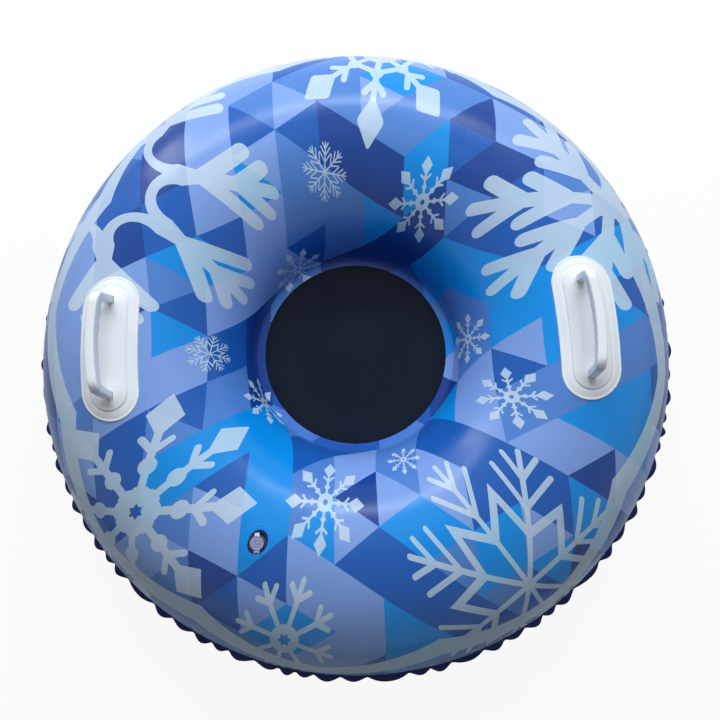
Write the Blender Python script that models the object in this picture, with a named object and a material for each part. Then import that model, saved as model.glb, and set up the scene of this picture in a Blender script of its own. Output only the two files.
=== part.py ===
"""Inflated snow tube: two welded sheets, a seat disc, two grab handles and an air valve.

The tube is a ring blown up from two flat round sheets, welded along their outer edge and
along the seat hole. Lengths are metres, +Z is up, and the origin is on the ground under
the middle of the ring.
"""

import math

import bmesh
import bpy
from mathutils import Matrix, Vector

# Sheets
flat_diameter = 1.194
seat_hole_radius = 0.136
outer_weld = 0.0085
inner_weld = 0.0110
top_wall = 0.0008
bottom_wall = 0.0010
ground_flat = 0.0030

# Puckers of the outer weld, which is longer than the circle it is drawn into
pucker_count = 84
pucker_reach = 0.0022
pucker_rise = 0.0030

# Seat
seat_wall = 0.0010
seat_edge = 0.0010

# Handle base: a flange on the skin, a raised pad and a slot for each leg. The skin bends the
# handle, so the middle of the base and of the grip's bar bow out towards the rim
base_end = 0.0310
base_width = 0.0745
base_bow = 0.0055
flange_height = 0.0016
pad_margin = 0.0125
pad_roof = 0.0012

# Handle grip: an arch on two legs, each with a round foot held under the pad
leg_spacing = 0.1180
leg_lean = 0.0030
leg_depth = 0.0100
grip_height = 0.0550
grip_width = 0.0120
grip_bow = 0.0050
bar_depth = 0.0150
outer_corner = 0.0150
inner_corner = 0.0070
wave_length = 0.0160
wave_depth = 0.0018
foot_radius = 0.0025
foot_lift = 0.0005
foot_overhang = 0.0020
neck_inset = 0.0005
neck_rise = 0.0040
grip_swing = 20.0

# Where each handle sits: angle round the ring, distance out from the crest, turn on the skin
left_angle = 183.5
left_out = 0.0157
left_turn = 1.5
right_angle = 1.5
right_out = 0.0010
right_turn = -2.8

# Valve, sunk in the top of the ring
valve_angle = 245.6
valve_in = 0.0050
valve_flange_width = 0.0068
valve_flange_wall = 0.0010
cup_room = 0.0005
cup_wall = 0.0012
cup_depth = 0.0130
cup_floor = 0.0015
stem_bore = 0.0050
stem_wall = 0.0032
stem_sink = 0.0028
stem_travel = 0.0120
collar_rim = 0.0016
collar_height = 0.0020
lip_height = 0.0020
plug_wall = 0.0018
stopper_taper = 0.0012
stopper_length = 0.0045
stopper_root = 0.0005
strap_reach = 0.0026
strap_width = 0.0044
strap_wall = 0.0012
knuckle_radius = 0.0012
ear_wall = 0.0012
lug_height = 0.0030
tab_length = 0.0038
tab_width = 0.0060
tab_wall = 0.0010
flap_overlap = 0.0020
flap_wall = 0.0006
flap_root = 0.0012

# Clearances
gap = 0.0003
overrun = 0.0020

# Counts
ring_steps = 56
tube_steps = 12
ground_steps = 5
corner_steps = 6
end_steps = 10
side_steps = 5
turn_steps = 32
foot_steps = 12
wave_steps = 4
crease_angle = math.radians(30.0)

# Ring: half a tube's outline is as long as the sheet between its two welds
tube_radius = (flat_diameter / 2 - outer_weld - seat_hole_radius) / math.pi
ring_radius = seat_hole_radius + tube_radius
seam_height = tube_radius - ground_flat
outer_offset = gap / 2
inner_offset = seat_wall / 2 + gap
fine_steps = 2 * pucker_count

# Handle
base_length = leg_spacing + 2 * base_end
foot_height = foot_radius + foot_lift
pad_height = foot_height + foot_radius + gap + pad_roof
neck_depth = leg_depth - 2 * neck_inset
foot_length = neck_depth + 2 * foot_overhang
neck_top = pad_height + neck_rise

# Valve
stem_radius = stem_bore + stem_wall
collar_radius = stem_radius + collar_rim
knuckle_offset = stem_radius + strap_reach
ear_in = strap_width / 2 + gap
ear_out = ear_in + ear_wall
cup_radius = math.hypot(knuckle_offset + knuckle_radius, ear_out) + cup_room
flap_radius = stem_bore + flap_overlap
stem_top = -stem_sink
stem_lip = -cup_depth - cup_floor - gap - stem_travel
stem_end = stem_lip - lip_height
hinge_height = stem_top + gap + knuckle_radius


def clear_scene():
    for obj in list(bpy.data.objects):
        bpy.data.objects.remove(obj, do_unlink=True)


def finish(name, colour, roughness, metallic=0.0, alpha=1.0):
    """A plain material with the colour of one moulding or sheet."""
    material = bpy.data.materials.new(name)
    material.use_nodes = True
    shader = material.node_tree.nodes["Principled BSDF"]
    shader.inputs["Base Color"].default_value = (*colour, 1.0)
    shader.inputs["Roughness"].default_value = roughness
    shader.inputs["Metallic"].default_value = metallic
    shader.inputs["Alpha"].default_value = alpha
    material.diffuse_color = (*colour, alpha)
    return material


def add_piece(name, bm, material=None, parent=None, place=(0.0, 0.0, 0.0)):
    """Turn a bmesh into a named object, shaded smooth across its shallow creases."""
    mesh = bpy.data.meshes.new(name)
    bm.normal_update()
    bm.to_mesh(mesh)
    bm.free()
    mesh.shade_smooth()
    mesh.set_sharp_from_angle(angle=crease_angle)
    obj = bpy.data.objects.new(name, mesh)
    bpy.context.scene.collection.objects.link(obj)
    obj.parent = parent
    obj.location = place
    if material:
        mesh.materials.append(material)
    return obj


def add_tool(name, bm, parent=None, place=(0.0, 0.0, 0.0)):
    """A guide solid that only cuts or trims other pieces."""
    tool = add_piece(name, bm, parent=parent, place=place)
    tool.hide_render = True
    tool.display_type = "WIRE"
    return tool


def combine(obj, tool, operation):
    step = obj.modifiers.new(f"{operation.lower()} {tool.name}", "BOOLEAN")
    step.operation = operation
    step.solver = "EXACT"
    step.object = tool


def add_place(name, matrix):
    empty = bpy.data.objects.new(name, None)
    bpy.context.scene.collection.objects.link(empty)
    empty.matrix_world = matrix
    return empty


def ring_of(bm, radius, height, steps, swing=0.0):
    """A closed row of points round the Z axis, drawn in and out, up and down, by swing."""
    row = []
    for i in range(steps):
        angle = 2 * math.pi * i / steps
        side = swing if i % 2 == 0 else -swing
        reach = radius + side * pucker_reach
        point = (reach * math.cos(angle), reach * math.sin(angle), height + side * pucker_rise)
        row.append(bm.verts.new(point))
    return row


def join_rows(bm, first, second):
    """Faces between two rows, where one may have a whole number of times more points."""
    if len(first) < len(second):
        coarse, fine, flip = first, second, True
    else:
        coarse, fine, flip = second, first, False
    ratio = len(fine) // len(coarse)
    for i, start in enumerate(coarse):
        end = coarse[(i + 1) % len(coarse)]
        run = [fine[(i * ratio + j) % len(fine)] for j in range(ratio + 1)]
        middle = ratio // 2
        if ratio == 1:
            faces = [(run[0], run[1], end, start)]
        else:
            faces = [(run[j], run[j + 1], start) for j in range(middle)]
            faces.append((run[middle], end, start))
            faces += [(run[j], run[j + 1], end) for j in range(middle, ratio)]
        for corners in faces:
            bm.faces.new(reversed(corners) if flip else corners)


def solid_of_rows(rows):
    """A closed solid from rows that go once round its section."""
    bm = bmesh.new()
    points = [ring_of(bm, *row) for row in rows]
    for first, second in zip(points, points[1:] + points[:1]):
        join_rows(bm, first, second)
    bmesh.ops.recalc_face_normals(bm, faces=bm.faces)
    return bm


def weld_offset(angle):
    """How far a sheet's weld face lies from mid-height: more at the seat, which it holds."""
    return outer_offset + (inner_offset - outer_offset) * angle / math.pi


def skin(side, wall, angles):
    """Half the tube: side 1 is the top sheet, side -1 the bottom one."""
    def row(reach, angle, ground):
        height = seam_height + side * (weld_offset(angle) + reach * math.sin(angle))
        return (ring_radius + reach * math.cos(angle), max(height, ground), ring_steps)

    def edge(radius, lift, angle, steps, swing):
        return (radius, seam_height + side * (weld_offset(angle) + lift), steps, swing)

    outer = ring_radius + tube_radius
    inner = seat_hole_radius
    shell = [row(tube_radius, angle, 0.0) for angle in angles]
    lining = [row(tube_radius - wall, angle, wall) for angle in reversed(angles)]
    rows = [
        edge(outer + outer_weld, wall, 0.0, fine_steps, 1.0),
        edge(outer, wall, 0.0, fine_steps, 1.0),
        *shell,
        edge(inner, wall, math.pi, ring_steps, 0.0),
        edge(inner - inner_weld, wall, math.pi, ring_steps, 0.0),
        edge(inner - inner_weld, 0.0, math.pi, ring_steps, 0.0),
        edge(inner + wall, 0.0, math.pi, ring_steps, 0.0),
        *lining,
        edge(outer - wall, 0.0, 0.0, fine_steps, 1.0),
        edge(outer + outer_weld, 0.0, 0.0, fine_steps, 1.0),
    ]
    return solid_of_rows(rows)


def top_angles():
    return [math.pi * i / tube_steps for i in range(1, tube_steps)]


def bottom_angles():
    """Steps down to the edge of the flat that the tube stands on, and up from the other."""
    edge = math.asin((seam_height - outer_offset) / tube_radius)
    down = [edge * i / ground_steps for i in range(1, ground_steps + 1)]
    return down + [math.pi - angle for angle in reversed(down)]


def tube_guide(name, offset):
    """The whole ring, swollen by offset past the top sheet's outer face."""
    reach = tube_radius + offset
    rows = []
    for i in range(2 * tube_steps):
        angle = math.pi * i / tube_steps
        height = seam_height + weld_offset(min(angle, math.pi)) + reach * math.sin(angle)
        rows.append((ring_radius + reach * math.cos(angle), height, ring_steps))
    return add_tool(name, solid_of_rows(rows))


def prism(outline, low, high, axis="Z"):
    """An outline carried along an axis. Each outline point gives the other two places."""
    bm = bmesh.new()
    ends = []
    for level in (low, high):
        if axis == "Z":
            points = [(a, b, level) for a, b in outline]
        elif axis == "X":
            points = [(level, a, b) for a, b in outline]
        else:
            points = [(a, level, b) for a, b in outline]
        ends.append([bm.verts.new(point) for point in points])
    bm.faces.new(ends[0])
    bm.faces.new(reversed(ends[1]))
    for i in range(len(outline)):
        j = (i + 1) % len(outline)
        bm.faces.new((ends[0][i], ends[1][i], ends[1][j], ends[0][j]))
    bmesh.ops.recalc_face_normals(bm, faces=bm.faces)
    return bm


def block(x, y, z):
    """A box between the pairs of limits x, y and z."""
    return prism([(x[0], y[0]), (x[1], y[0]), (x[1], y[1]), (x[0], y[1])], z[0], z[1])


def disc(radius, low, high, steps=turn_steps):
    return prism(circle(radius, steps), low, high)


def circle(radius, steps, middle=(0.0, 0.0)):
    turns = [2 * math.pi * i / steps for i in range(steps)]
    return [(middle[0] + radius * math.cos(t), middle[1] + radius * math.sin(t)) for t in turns]


def turned(profile, steps=turn_steps):
    """A turned piece with a bore, from the radius and height of each corner."""
    return solid_of_rows([(radius, height, steps) for radius, height in profile])


def bow_out(place, reach, depth):
    """How far a bowed piece stands out at a place along it: depth in its middle, 0 past reach."""
    return depth * max(1 - (place / reach) ** 2, 0.0)


def base_outline(margin):
    """The round-ended outline of the handle base, drawn in by margin."""
    radius = base_width / 2 - margin
    straight = base_length - base_width
    points = []
    for side in (1, -1):
        for i in range(end_steps + 1):
            turn = math.pi * i / end_steps
            x = side * radius * math.cos(turn)
            points.append((x, side * (straight / 2 + radius * math.sin(turn))))
        for i in range(1, side_steps):
            points.append((-side * radius, side * straight * (0.5 - i / side_steps)))
    return [(x + bow_out(y, base_length / 2, base_bow), y) for x, y in points]


def arc(middle, radius, start, end):
    """Points of an arc in degrees, both ends included."""
    shares = [i / corner_steps for i in range(corner_steps + 1)]
    turns = [math.radians(start + (end - start) * share) for share in shares]
    return [(middle[0] + radius * math.cos(t), middle[1] + radius * math.sin(t)) for t in turns]


def arch_pairs():
    """Outer and inner points of the grip's side view, in pairs from one neck to the other."""
    half = leg_spacing / 2
    low = neck_top - foot_height
    high = grip_height - foot_height
    under = high - bar_depth
    outer = half + leg_depth / 2
    inner = half - leg_depth / 2
    top_outer = outer - leg_lean
    top_inner = inner - leg_lean
    outside = arc((top_outer - outer_corner, high - outer_corner), outer_corner, 0.0, 90.0)
    inside = arc((top_inner - inner_corner, under - inner_corner), inner_corner, 0.0, 90.0)
    leg = [((outer, low), (inner, low)), *zip(outside, inside)]
    span = 2 * (top_inner - inner_corner)
    steps = wave_steps * int(span / wave_length)
    bar = []
    for i in range(1, steps):
        y = span * (0.5 - i / steps)
        swell = wave_depth * (1 - math.cos(2 * math.pi * i / wave_steps)) / 2
        bar.append(((y, high), (y, under - swell)))
    other_leg = [[(-y, z) for y, z in pair] for pair in reversed(leg)]
    return leg + bar + other_leg


def arch():
    """The grip above its necks, with finger waves under its bar, bowed between the legs."""
    bm = bmesh.new()
    half = grip_width / 2
    reach = (leg_spacing - leg_depth) / 2
    sections = []
    for outer, inner in arch_pairs():
        section = []
        for side, (y, z) in ((-half, outer), (half, outer), (half, inner), (-half, inner)):
            section.append(bm.verts.new((side + bow_out(y, reach, grip_bow), y, z)))
        sections.append(section)
    bm.faces.new(sections[0])
    bm.faces.new(reversed(sections[-1]))
    for first, second in zip(sections, sections[1:]):
        for i in range(4):
            j = (i + 1) % 4
            bm.faces.new((first[i], first[j], second[j], second[i]))
    bmesh.ops.recalc_face_normals(bm, faces=bm.faces)
    return bm


def skin_frame(angle, out):
    """Frame on the top skin, out from its crest: X across the tube, Y round it, Z outward."""
    turn = math.radians(angle)
    radial = Vector((math.cos(turn), math.sin(turn), 0.0))
    along = Vector((-math.sin(turn), math.cos(turn), 0.0))
    lean = math.acos(out / tube_radius)
    normal = radial * math.cos(lean) + Vector((0.0, 0.0, math.sin(lean)))
    height = seam_height + weld_offset(lean) + tube_radius * math.sin(lean)
    spot = radial * (ring_radius + out) + Vector((0.0, 0.0, height))
    frame = Matrix((along.cross(normal), along, normal)).transposed().to_4x4()
    return Matrix.Translation(spot) @ frame


def handle_place(name, angle, out, turn):
    """A handle's place: X outward across the tube, Y along the handle, Z out of the skin."""
    return add_place(name, skin_frame(angle, out) @ Matrix.Rotation(-math.radians(turn), 4, "Z"))


def handle_base(name, place, guides, white):
    """A moulded patch that follows the skin, with a pocket under each leg."""
    low = -base_width / 2
    high = pad_height + overrun
    flange = add_piece(name, prism(base_outline(0.0), low, high), white, place)
    pad = add_tool(f"{name}_pad", prism(base_outline(pad_margin), low, high), place)
    combine(flange, guides["flange"], "INTERSECT")
    combine(pad, guides["pad"], "INTERSECT")
    combine(flange, pad, "UNION")
    combine(flange, guides["skin"], "DIFFERENCE")
    slot_half = (pad_height - foot_height) * math.tan(math.radians(grip_swing))
    slot_half += foot_radius / math.cos(math.radians(grip_swing)) + gap
    pocket_radius = foot_radius + gap
    for side in (1, -1):
        middle = side * leg_spacing / 2
        pocket_y = (middle - foot_length / 2 - gap, middle + foot_length / 2 + gap)
        neck_y = (middle - neck_depth / 2 - gap, middle + neck_depth / 2 + gap)
        tag = "front" if side > 0 else "back"
        barrel = prism(circle(pocket_radius, foot_steps, (0.0, foot_height)), *pocket_y, axis="Y")
        below = block((-pocket_radius, pocket_radius), pocket_y, (low, foot_height))
        slot = block((-slot_half, slot_half), neck_y, (low, high + overrun))
        for kind, shape in (("pocket", barrel), ("seat", below), ("slot", slot)):
            combine(flange, add_tool(f"{name}_{tag}_{kind}", shape, place), "DIFFERENCE")
    return flange


def handle_grip(name, place, white):
    """The arch, standing on necks whose round feet turn under the pad."""
    grip = add_piece(name, arch(), white, place, (0.0, 0.0, foot_height))
    for side in (1, -1):
        middle = side * leg_spacing / 2
        tag = "front" if side > 0 else "back"
        neck = block((-foot_radius, foot_radius),
                     (middle - neck_depth / 2, middle + neck_depth / 2),
                     (0.0, neck_top - foot_height + overrun))
        foot = prism(circle(foot_radius, foot_steps), middle - foot_length / 2,
                     middle + foot_length / 2, axis="Y")
        for kind, shape in (("neck", neck), ("foot", foot)):
            tool = add_tool(f"{name}_{tag}_{kind}", shape, place, (0.0, 0.0, foot_height))
            combine(grip, tool, "UNION")
    return grip


def valve_place():
    """The valve stands upright over its spot on the skin, a little in from the crest."""
    spot = skin_frame(valve_angle, -valve_in).to_translation()
    return add_place("valve_place", Matrix.Translation(spot))


def valve_base(place, guides, clear):
    """A flange welded inside the skin, and the cup that the stem is pushed down into."""
    deep = -cup_depth - cup_floor
    outside = cup_radius + cup_wall
    rim = disc(outside + valve_flange_width, -cup_depth, overrun)
    flange = add_piece("valve_base", rim, clear, place)
    combine(flange, guides["lining"], "INTERSECT")
    combine(flange, guides["flange_under"], "DIFFERENCE")
    cup = add_tool("valve_cup", disc(outside, deep, overrun), place)
    combine(cup, guides["lining"], "INTERSECT")
    combine(flange, cup, "UNION")
    room = add_tool("valve_cup_room", disc(cup_radius, -cup_depth, overrun), place)
    combine(flange, room, "DIFFERENCE")
    bore = disc(stem_radius + gap, deep - overrun, overrun)
    combine(flange, add_tool("valve_guide_bore", bore, place), "DIFFERENCE")
    return flange


def valve_stem(place, clear):
    """A tube with a collar above the cup's floor and a lip below it, and two ears."""
    seat = -cup_depth + gap
    profile = [
        (stem_bore, stem_end), (collar_radius, stem_end), (collar_radius, stem_lip),
        (stem_radius, stem_lip), (stem_radius, seat), (collar_radius, seat),
        (collar_radius, seat + collar_height), (stem_radius, seat + collar_height),
        (stem_radius, stem_top), (stem_bore, stem_top),
    ]
    stem = add_piece("valve_stem", turned(profile), clear, place)
    reach = knuckle_offset + knuckle_radius
    inside = stem_bore + stem_wall / 2
    lug = block((-ear_out, ear_out), (-reach, -inside), (stem_top - lug_height, stem_top))
    combine(stem, add_tool("stem_lug", lug, place), "UNION")
    for side in (1, -1):
        low, high = sorted((side * ear_in, side * ear_out))
        tag = "east" if side > 0 else "west"
        ear = block((low, high), (-reach, -stem_radius), (stem_top - lug_height / 2, hinge_height))
        combine(stem, add_tool(f"stem_ear_{tag}", ear, place), "UNION")
    return stem


def valve_plug(place, clear):
    """A cap with a tapered stopper, a strap to its knuckle and a pull tab."""
    hinge = (0.0, -knuckle_offset, hinge_height)
    low = -knuckle_radius
    centre = knuckle_offset
    cap = disc(stem_radius, low, low + plug_wall)
    bmesh.ops.translate(cap, verts=cap.verts, vec=(0.0, centre, 0.0))
    plug = add_piece("valve_plug", cap, clear, place, hinge)
    stopper = bmesh.new()
    depth = stopper_length + stopper_root
    bmesh.ops.create_cone(
        stopper, cap_ends=True, segments=turn_steps, radius1=stem_bore - gap - stopper_taper,
        radius2=stem_bore - gap, depth=depth,
        matrix=Matrix.Translation((0.0, centre, low - stopper_length + depth / 2)),
    )
    half = strap_width / 2
    strap = block((-half, half), (0.0, centre - stem_radius / 2), (low, low + strap_wall))
    knuckle = prism(circle(knuckle_radius, foot_steps), -half, half, axis="X")
    tab_low = low + (plug_wall - tab_wall) / 2
    tab = block((-tab_width / 2, tab_width / 2),
                (centre + stem_radius / 2, centre + stem_radius + tab_length),
                (tab_low, tab_low + tab_wall))
    for name, shape in (("stopper", stopper), ("strap", strap), ("knuckle", knuckle), ("tab", tab)):
        combine(plug, add_tool(f"plug_{name}", shape, place, hinge), "UNION")
    return plug


def valve_flap(place, clear):
    """The check flap: a thin round leaf under the stem, hung from one side."""
    hinge = (0.0, -flap_radius - flap_root, stem_end - gap - flap_wall / 2)
    leaf = disc(flap_radius, -flap_wall / 2, flap_wall / 2)
    bmesh.ops.translate(leaf, verts=leaf.verts, vec=(0.0, flap_radius + flap_root, 0.0))
    flap = add_piece("valve_flap", leaf, clear, place, hinge)
    root = block((-flap_radius / 2, flap_radius / 2), (-flap_wall / 2, flap_radius),
                 (-flap_wall / 2, flap_wall / 2))
    combine(flap, add_tool("flap_root", root, place, hinge), "UNION")
    return flap


def build():
    clear_scene()
    printed = finish("printed_sheet", (0.10, 0.30, 0.72), 0.22)
    dark = finish("dark_sheet", (0.012, 0.014, 0.028), 0.35)
    black = finish("seat_sheet", (0.015, 0.016, 0.022), 0.45)
    white = finish("white_moulding", (0.86, 0.88, 0.90), 0.35)
    clear = finish("clear_moulding", (0.62, 0.68, 0.80), 0.12, alpha=0.6)

    top = add_piece("top_skin", skin(1, top_wall, top_angles()), printed)
    add_piece("bottom_skin", skin(-1, bottom_wall, bottom_angles()), dark)
    seat = disc(seat_hole_radius - seat_edge, -seat_wall / 2, seat_wall / 2, ring_steps)
    add_piece("seat_disc", seat, black, place=(0.0, 0.0, seam_height))

    guides = {
        "skin": tube_guide("skin_guide", gap),
        "flange": tube_guide("flange_guide", gap + flange_height),
        "pad": tube_guide("pad_guide", gap + pad_height),
        "lining": tube_guide("lining_guide", -top_wall - gap),
        "flange_under": tube_guide("flange_under_guide", -top_wall - gap - valve_flange_wall),
    }
    placings = {
        "left": (left_angle, left_out, left_turn),
        "right": (right_angle, right_out, right_turn),
    }
    for side, placing in placings.items():
        place = handle_place(f"{side}_handle_place", *placing)
        handle_base(f"{side}_handle_base", place, guides, white)
        handle_grip(f"{side}_handle_grip", place, white)

    place = valve_place()
    hole = disc(cup_radius + gap, -cup_depth, cup_depth)
    combine(top, add_tool("valve_hole", hole, place), "DIFFERENCE")
    valve_base(place, guides, clear)
    valve_stem(place, clear)
    valve_plug(place, clear)
    valve_flap(place, clear)


build()
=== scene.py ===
"""Looks of an inflated snow tube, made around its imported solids.

The printed skin is drawn in the plane of its flat sheet, where the print is regular, and is then
wrapped on the ring. Node trees grow the running sheet and the seat disc from their sizes, with
the same rule of wrapping. Lengths are metres, and colours are given as they look on a screen.
"""

import math
from types import SimpleNamespace

import bmesh
import bpy
import numpy as np
from mathutils import Matrix, Vector
from mathutils.geometry import delaunay_2d_cdt


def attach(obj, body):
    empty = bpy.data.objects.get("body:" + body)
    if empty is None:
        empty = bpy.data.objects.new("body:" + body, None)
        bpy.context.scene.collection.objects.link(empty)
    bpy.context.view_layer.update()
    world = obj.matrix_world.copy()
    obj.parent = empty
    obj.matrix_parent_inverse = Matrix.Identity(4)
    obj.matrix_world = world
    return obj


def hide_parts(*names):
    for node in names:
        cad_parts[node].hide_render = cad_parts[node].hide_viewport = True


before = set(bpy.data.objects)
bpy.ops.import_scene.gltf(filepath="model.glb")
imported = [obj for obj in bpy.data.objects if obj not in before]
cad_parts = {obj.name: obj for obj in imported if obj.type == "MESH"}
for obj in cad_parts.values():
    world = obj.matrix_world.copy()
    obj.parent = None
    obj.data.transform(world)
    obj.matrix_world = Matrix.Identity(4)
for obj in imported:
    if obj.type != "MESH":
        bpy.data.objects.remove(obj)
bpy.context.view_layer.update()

# Sheets
flat_diameter = 1.194
seat_hole_radius = 0.136
outer_weld = 0.0085
inner_weld = 0.0110
top_wall = 0.0008
bottom_wall = 0.0010
ground_flat = 0.0030
seat_wall = 0.0010
seat_edge = 0.0010
gap = 0.0003

# Ring: half a tube's outline is as long as the sheet between its two welds
outer_line = flat_diameter / 2 - outer_weld
tube_radius = (outer_line - seat_hole_radius) / math.pi
ring_radius = seat_hole_radius + tube_radius
seam_height = tube_radius - ground_flat
outer_offset = gap / 2
inner_offset = seat_wall / 2 + gap

# Sizes of the blown-up sheets: the ring, the gathers of its outer weld and its seat creases
ring_sizes = SimpleNamespace(
    outer_line=outer_line, tube_radius=tube_radius, ring_radius=ring_radius,
    seat_hole_radius=seat_hole_radius, seam_height=seam_height, outer_weld=outer_weld,
    outer_offset=outer_offset, inner_offset=inner_offset,
    lobe_count=84, lobe_depth=0.0034, lobe_run=0.020, lobe_reach=0.0036, lobe_rise=0.0034,
    lobe_rise_run=0.010, crease_start=0.006, crease_depth=0.0022, crease_run=0.034,
    ripple_depth=0.00022, ripple_run=0.050, lining_start=0.006, lining_sink=0.0046,
    seat_crease_count=46, seat_crease_depth=0.0004, seat_crease_run=0.018,
)

# Sizes of the seat disc, with its sag and its faint waves
seat_sizes = SimpleNamespace(
    radius=seat_hole_radius - seat_edge, held=seat_hole_radius - inner_weld, weld_round=0.0040,
    wall=seat_wall, seam_height=seam_height, sag=0.0016, sag_run=0.050,
    wave=0.00012, wave_start=0.070, wave_full=0.110, wave_end=0.012,
)

# Meshes of the skins
sheet_step = 0.0052
edge_step = 0.0038
edge_zone = 0.062
lining_step = 0.016
outline_step = 0.0045
clear_of_outline = 0.0015
rim_points = 10 * ring_sizes.lobe_count
hub_points = 240
hole_points = 96
same_place = 1e-7
marks_across = 900
marks_margin = 20

# Grids of the grown pieces, with the rows where the running sheet's two faces reach their sizes
running_face = (0, 2, 60, 76, 79)
running_lining = (80, 81, 83, 100, 101)
running_rows = 102
seat_rows = 56
seat_turns = 192
merge_reach = 0.00002

# Plans of the skins' faces, side by side for a bake
plan_width = flat_diameter * 1.02
lining_plan_share = 0.10
lining_plan_shift = 0.43
seat_plan_scale = 1.7
seat_plan_gap = 0.48

# Facets of the print: a lattice of equal triangles
facet_side = 0.0825
facet_turn = math.radians(32.45)
facet_start = (0.0265, 0.0168)
facet_seed = 11
facet_reach = 20
facet_bars = 380
facet_bar_margin = 6
facet_line_reach = 18
longest_bar = 3

# How far the air draws out the flakes along the sheet's radius
draw_start = 0.20
draw_end = 0.50
draw_most_share = 0.08

# Pale band near the edge of the print
band_inner = 0.497
band_outer = 0.525
band_oval = 0.018
band_teeth = 8
inner_tooth = 0.042
outer_tooth = 0.034
tooth_bend = 1.3
first_tooth = math.radians(15.5)

# Handle base
base_end = 0.0310
base_width = 0.0745
base_bow = 0.0055
base_edge = 0.0012
flange_height = 0.0016
pad_margin = 0.0125
pad_roof = 0.0012
flange_rise = 0.0015
pad_step = 0.0012
pad_top = 0.0250
pad_dish = 0.0010
dish_start = 0.0220
dish_full = 0.0340
dish_end = 0.0520
pad_groove = 0.0004
pad_groove_width = 0.0006
pad_step_end = 0.0008
pad_step_run = 0.0009
rim_groove = 0.0003
rim_groove_width = 0.0004
rim_groove_in = 0.0032
flange_in = 0.0036
base_step = 0.0022
base_rings = (0.0003, 0.0007, 0.0012, 0.0028, 0.0032, 0.0036, 0.0112, 0.0119, 0.0125,
              0.0128, 0.0132, 0.0136)
base_fine_in = 0.0146
base_coarse_in = ((0.0018, 0.0022), (0.0046, 0.0102))

# Handle grip
leg_spacing = 0.1180
leg_lean = 0.0030
leg_depth = 0.0100
grip_height = 0.0550
grip_width = 0.0120
grip_bow = 0.0050
grip_round = 0.0024
bar_depth = 0.0150
outer_corner = 0.0150
inner_corner = 0.0070
wave_length = 0.0160
wave_depth = 0.0018
foot_radius = 0.0025
foot_sides = 24
foot_lift = 0.0005
foot_overhang = 0.0020
neck_inset = 0.0005
neck_rise = 0.0040
grip_swing = math.radians(20.0)
base_length = leg_spacing + 2 * base_end
foot_height = foot_radius + foot_lift
pad_height = foot_height + foot_radius + gap + pad_roof
neck_depth = leg_depth - 2 * neck_inset
foot_length = neck_depth + 2 * foot_overhang
neck_top = pad_height + neck_rise
handle_places = {
    "left": (183.5, 0.0157, 1.5),
    "right": (1.5, 0.0010, -2.8),
}

# Valve
valve_angle = 245.6
valve_in = 0.0050
valve_flange_width = 0.0068
valve_flange_wall = 0.0010
cup_room = 0.0005
cup_wall = 0.0012
cup_depth = 0.0130
cup_floor = 0.0015
stem_bore = 0.0050
stem_wall = 0.0032
stem_sink = 0.0028
stem_travel = 0.0120
collar_rim = 0.0016
collar_height = 0.0020
lip_height = 0.0020
plug_wall = 0.0018
stopper_taper = 0.0012
stopper_length = 0.0045
strap_reach = 0.0026
strap_width = 0.0044
strap_wall = 0.0012
knuckle_radius = 0.0012
ear_wall = 0.0012
lug_height = 0.0030
tab_length = 0.0038
tab_width = 0.0060
tab_wall = 0.0010
valve_round = 0.0004
cup_lip = 0.0016
cup_fillet = 0.0006
cap_round = 0.0003
cap_eye = 0.0006
cap_core = 0.0007
cap_button = 0.0018
cap_rim = 0.0014
cap_ring = 0.0012
cap_drop = 0.0005
cap_dish = 0.0010
cap_lip = 0.0004
flap_overlap = 0.0020
flap_wall = 0.0006
flap_root = 0.0012
stem_radius = stem_bore + stem_wall
collar_radius = stem_radius + collar_rim
knuckle_offset = stem_radius + strap_reach
ear_in = strap_width / 2 + gap
ear_out = ear_in + ear_wall
cup_radius = math.hypot(knuckle_offset + knuckle_radius, ear_out) + cup_room
flap_radius = stem_bore + flap_overlap
stem_top = -stem_sink
stem_lip = -cup_depth - cup_floor - gap - stem_travel
stem_end = stem_lip - lip_height
hinge_height = stem_top + gap + knuckle_radius
overrun = 0.0020

# Top sheet round the valve, which is welded under it
weld_reach = 0.0150
# The dark ring round the valve is shifted off its axis so that it is thick on one side: a painted shade
# crescent at the pit's edge
weld_shade_shift = (0.0013, 0.0011)
swell_height = 0.0004
swell_reach = 0.0215
swell_fade = 0.0035
swell_ripple = 0.00013
swell_ripple_length = 0.0048
swell_ripple_run = 0.005
swell_points = 72
swell_rings = (0.0165, 0.0180, 0.0195, 0.0205, 0.0215, 0.0225, 0.0235, 0.0247, 0.0259, 0.0271,
               0.0283, 0.0295, 0.0310, 0.0330, 0.0350)

# Colours on a screen
facet_shades = [(132, 165, 228), (84, 134, 208), (28, 94, 180), (8, 146, 230), (22, 68, 148)]
facet_shares = [0.27, 0.20, 0.25, 0.18, 0.10]
flake_white = (210, 225, 238)
flake_cover_share = 0.86
# Dark margin: partly the sheet's dark edge at the outer weld, partly painted shade of the tube's
# equator; the ring round the valve takes it too
edge_ink_and_shade = (20, 36, 96)
dark_vinyl = (16, 18, 26)
seat_black = (12, 21, 35)
handle_white = (248, 249, 250)
# Valve cup: a navy tint on clear vinyl, partly painted shade standing for the unlit inside of the tube
# seen through it
cup_navy_and_shade = (58, 70, 156)
plug_lilac = (176, 180, 216)
# Painted highlight: the pull tab is the plug's own milky vinyl, painted near-white where it catches the
# light
tab_highlight_white = (240, 243, 246)

# Camera and light
camera_place = Vector((0.0165, -0.2001, 1.2967))
camera_aim = Vector((0.0062, -0.0094, 0.1413))
focal_length = 42.26
sensor_width = 36.0
light_colour = (0.86, 0.93, 1.0)
fill_light = 0.10
floor_half = 6.0
floor_glow_share = 0.92


def srgb(colour):
    return [((c / 255 + 0.055) / 1.055) ** 2.4 for c in colour]


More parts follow.
